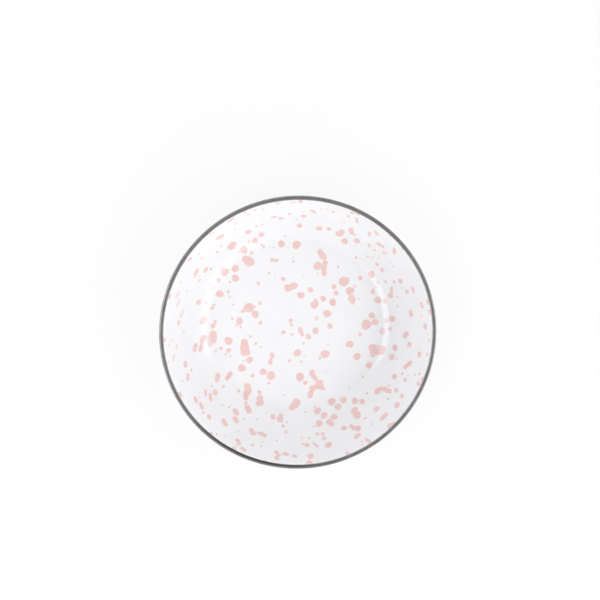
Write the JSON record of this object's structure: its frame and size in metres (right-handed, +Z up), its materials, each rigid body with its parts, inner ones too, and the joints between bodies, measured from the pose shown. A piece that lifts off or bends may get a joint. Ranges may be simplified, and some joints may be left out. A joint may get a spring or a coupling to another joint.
{
  "type": "enamel soup bowl",
  "caption": "Round, shallow enamelled steel soup bowl with a flat base, a flared curved wall and a stainless band folded over its lip.",
  "frame": {"origin": "middle of the flat base, on the surface that the bowl stands on", "axes": "+Z up along the bowl's axis, out of its mouth; +X and +Y are the picture's right and up when the bowl is looked into"},
  "size_m": [0.22, 0.22, 0.04],
  "materials": {
    "pressed_steel": "bare pressed low-carbon steel sheet",
    "ground_enamel": "dark fired ground coat",
    "cover_enamel": "glossy white fired cover coat",
    "spatter_enamel": "glossy pink glaze, spattered in drops on the cover coat",
    "stainless_steel": "polished stainless strip with fine lines along it"
  },
  "bodies": {
    "root": {"steel_core": "pressed_steel", "inner_ground_coat": "ground_enamel", "outer_ground_coat": "ground_enamel", "inner_cover_coat": "cover_enamel", "outer_cover_coat": "cover_enamel", "rim_band": "stainless_steel"}
  },
  "joints": []
}
